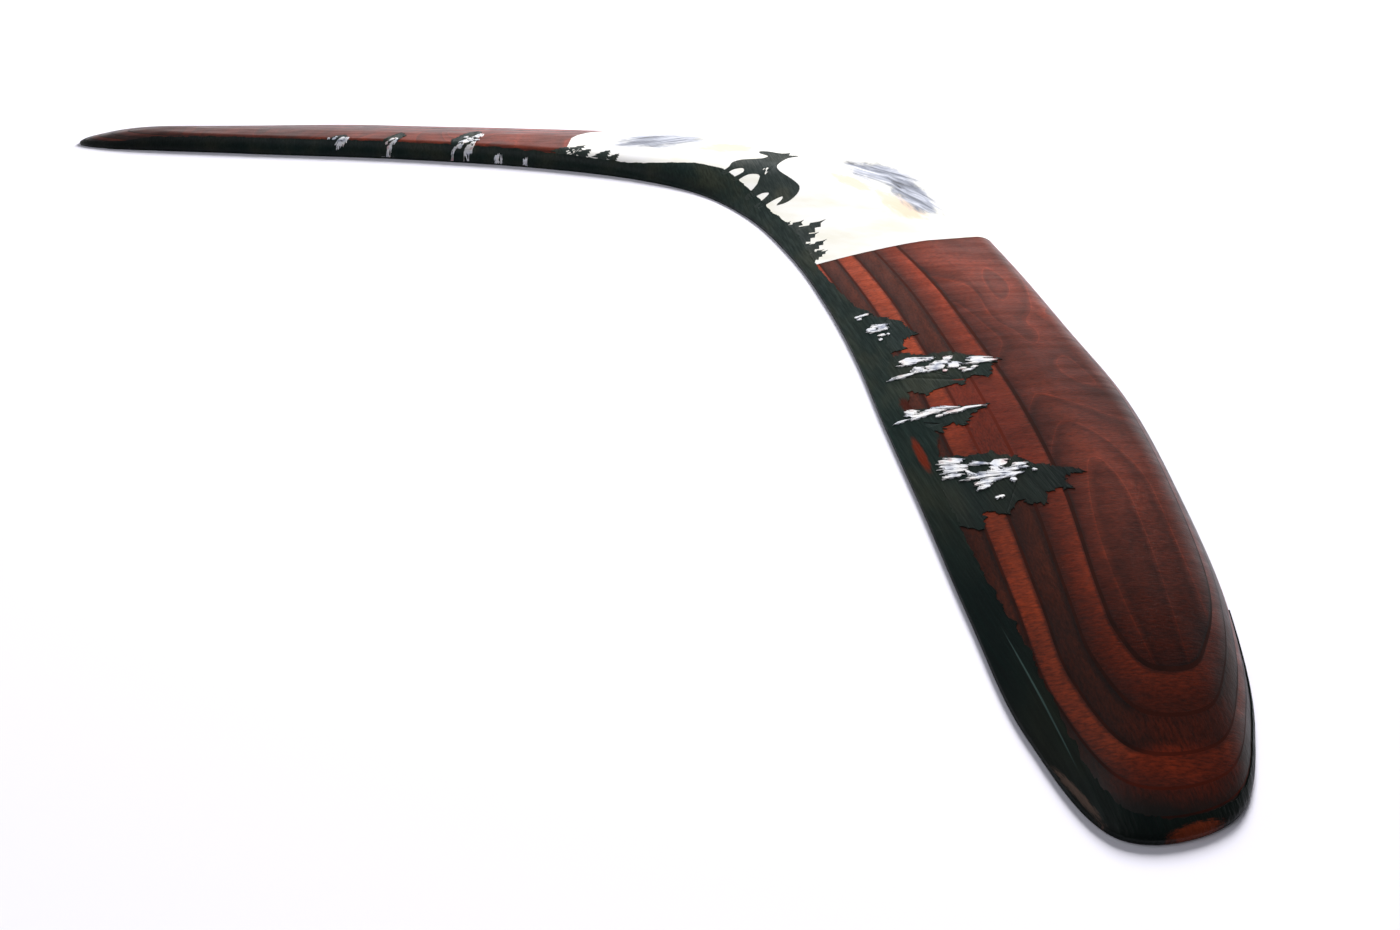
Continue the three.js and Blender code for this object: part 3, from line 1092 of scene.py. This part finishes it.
for number, (name, outline) in enumerate(MASSES.items()):
    mass = patch(name, ragged(outline, 0.45, 1.3, number * 5.0), 5)
    drape(mass)
    thicken(mass, TREE_COAT)
    hand_in(mass, tree_paint)
    print(mass.name, len(mass.data.polygons), "faces")

# %% Snow
DAUB_OUTLINE = [(-1.0, 0.05), (-0.7, 0.6), (-0.2, 0.9), (0.4, 0.95), (0.8, 0.5), (1.0, -0.1), (0.6, -0.7),
                (0.1, -1.0), (-0.5, -0.65)]
daub = patch("daub", DAUB_OUTLINE, 2)


def snow(name, tip, towards_foot, towards_shade, strokes):
    """Snow on one conifer. strokes: along and across from the tip, length, width, turn in degrees."""
    tip, foot = np.array(tip, float), np.array(towards_foot, float)
    shade = np.array(towards_shade, float)
    daubs = []
    hairs = [(a + side * 0.15 * size, b + side * 0.62 * width, size * 0.9, width * 0.16, turn + side * 7)
             for a, b, size, width, turn in strokes if size > 2 for side in (-1, 1)]
    for number, (along, across, length, width, degrees) in enumerate(strokes + hairs):
        stroke = copy_of(daub, "stroke")
        flat = get_points(stroke)[:, :2] / MM
        wobble = np.array([noise.noise(Vector((*point * 2.2, number * 3.1 + tip[0]))) for point in flat])
        flat = flat * (1 + 0.5 * wobble[:, None]) * (length / 2, width * 0.72)
        turn = math.radians(degrees)
        a = along + flat[:, 0] * math.cos(turn) - flat[:, 1] * math.sin(turn)
        b = across + flat[:, 0] * math.sin(turn) + flat[:, 1] * math.cos(turn)
        spot = tip + a[:, None] * foot + b[:, None] * shade
        set_points(stroke, np.column_stack((spot * MM, np.zeros(len(spot)))))
        daubs.append(stroke)
    piece = join(daubs, name)
    drape(piece)
    thicken(piece, DAUB, 35)
    return hand_in(piece, snow_finish)


snow_finish = snow_paint()
NEAR_FOOT, NEAR_SHADE = (-0.80, -0.60), (0.64, -0.77)
FIRST = [
    (3.6, 0.0, 5.6, 2.2, 0), (1.0, 0.3, 2.6, 0.8, 0), (10.2, -1.6, 2.2, 1.3, 10), (8.8, 1.8, 2.8, 1.8, -15),
    (13.0, 2.2, 4.2, 2.6, 10), (11.7, 0.3, 3.6, 1.0, 0), (17.0, 3.2, 2.9, 1.7, 8), (18.3, -1.2, 5.0, 2.4, 5),
    (14.4, -1.8, 2.5, 1.0, 0), (20.4, 5.8, 6.6, 0.9, 22), (7.3, 3.8, 1.7, 0.7, 20), (6.0, 4.6, 2.6, 0.7, 15),
    (4.6, 3.2, 1.6, 0.6, 10), (15.6, 3.9, 1.8, 0.9, 30), (11.0, 4.4, 1.4, 0.7, 40),
]
SECOND = [
    (2.6, 0.8, 5.6, 0.6, 14), (7.0, 0.4, 4.2, 0.5, -4), (6.0, 2.2, 3.6, 0.9, 16), (10.0, 1.6, 4.8, 0.9, 4),
    (12.3, 2.8, 4.8, 1.2, 12), (14.4, 1.8, 2.8, 1.7, -8), (16.6, 5.0, 3.2, 0.5, 28), (8.8, 3.6, 1.6, 0.7, 24),
    (4.6, 2.0, 2.4, 0.5, 20), (9.2, 0.4, 2.6, 0.5, 0), (13.4, 4.0, 2.2, 0.6, 20),
]
THIRD_LAID_OUT = [
    (19.6, -2.6, 4.6, 1.3, -5), (19.2, -0.6, 5.0, 1.0, 0), (19.2, 0.7, 4.3, 0.9, 4), (19.6, 2.5, 3.5, 0.8, 6),
    (16.0, -0.2, 0.7, 1.3, 30), (15.2, 0.5, 0.5, 1.2, 40), (14.4, 0.9, 0.5, 0.9, 35),
    (13.0, -2.8, 3.6, 0.5, -10), (8.5, -2.6, 3.3, 1.7, 8), (9.2, -0.6, 2.7, 1.2, -20),
    (4.2, -1.8, 3.0, 0.8, 10), (5.8, -0.3, 3.8, 0.6, 6), (11.5, 1.6, 7.4, 0.5, 6), (11.0, 0.7, 6.8, 0.4, 2),
    (6.2, 1.4, 4.2, 0.8, 10), (10.4, 2.7, 5.6, 0.5, 10), (12.3, 3.8, 4.2, 0.6, 14), (12.7, 5.2, 2.4, 0.9, 18),
    (5.8, 3.2, 1.3, 0.8, 0), (9.6, 8.6, 2.0, 0.6, 24), (2.6, -0.9, 1.6, 0.5, 10), (0.6, 0.1, 1.0, 0.5, 0),
    (14.0, 2.0, 3.2, 0.5, 8), (8.0, 0.6, 3.0, 0.4, 4),
]
THIRD_SQUEEZE = 0.77               # the strokes are drawn together from the tip to the foot
THIRD_FOOT, THIRD_FOOT_SHIFT = 17, -1.5     # strokes laid out beyond this distance move sideways
THIRD = [(round(along * THIRD_SQUEEZE, 1), round(across + THIRD_FOOT_SHIFT * (along > THIRD_FOOT), 1), *rest)
         for along, across, *rest in THIRD_LAID_OUT]
SMALL = [(0.6, -0.2, 2.6, 1.0, 20), (2.2, 0.6, 1.8, 0.7, 40), (1.6, 2.0, 1.2, 0.8, 0)]
CLUSTER = [
    (2.0, -1.6, 4.4, 1.1, 4), (3.6, 0.2, 2.4, 1.5, 10), (0.8, 0.0, 2.8, 1.2, -20), (2.2, 1.2, 3.4, 0.7, 14),
    (1.2, 3.6, 2.0, 1.0, 20), (-0.4, 3.4, 0.9, 0.7, 0), (1.4, 6.0, 1.0, 0.9, 10),
]
snow("first_conifer_snow", (160.6, -18.6), NEAR_FOOT, NEAR_SHADE, FIRST)
snow("second_conifer_snow", (170.2, -37.2), NEAR_FOOT, NEAR_SHADE, SECOND)
snow("third_conifer_snow", (192.4, -52.2), NEAR_FOOT, NEAR_SHADE, THIRD)
snow("small_conifer_snow", (119.6, -14.0), NEAR_FOOT, NEAR_SHADE, SMALL)
snow("cluster_snow", (129.0, -17.4), NEAR_FOOT, NEAR_SHADE, CLUSTER)
FAR_FOOT, FAR_SHADE = (0.62, -0.78), (-0.80, -0.60)
snow("far_conifer_1_snow", (-143.5, -34.5), FAR_FOOT, FAR_SHADE, CLUSTER)
snow("far_conifer_2_snow", (-128.5, -15.0), FAR_FOOT, FAR_SHADE, SECOND[1:8])
snow("far_conifer_3_snow", (-108.0, 10.0), FAR_FOOT, FAR_SHADE, FIRST[:12])
snow("far_conifer_4_snow", (-84.0, 2.0), FAR_FOOT, FAR_SHADE, SMALL + CLUSTER[:3])
snow("far_conifer_5_snow", (-73.0, 8.0), FAR_FOOT, FAR_SHADE, SMALL + CLUSTER[1:4])
pick(daub)
bpy.ops.object.delete()
print("snow daubed on", len(FIRST + SECOND + THIRD), "strokes of the near conifers")

# %% [markdown]
# ## Clearing up
# The blank was only a form to work on. The box of the finished model is printed, to set beside the
# veneer boxes printed earlier.

# %% Sizes and finish
pick(blank)
bpy.ops.object.delete()
low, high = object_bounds()
print("finished box in mm:", [round(v / MM, 2) for v in (*low, *high)])
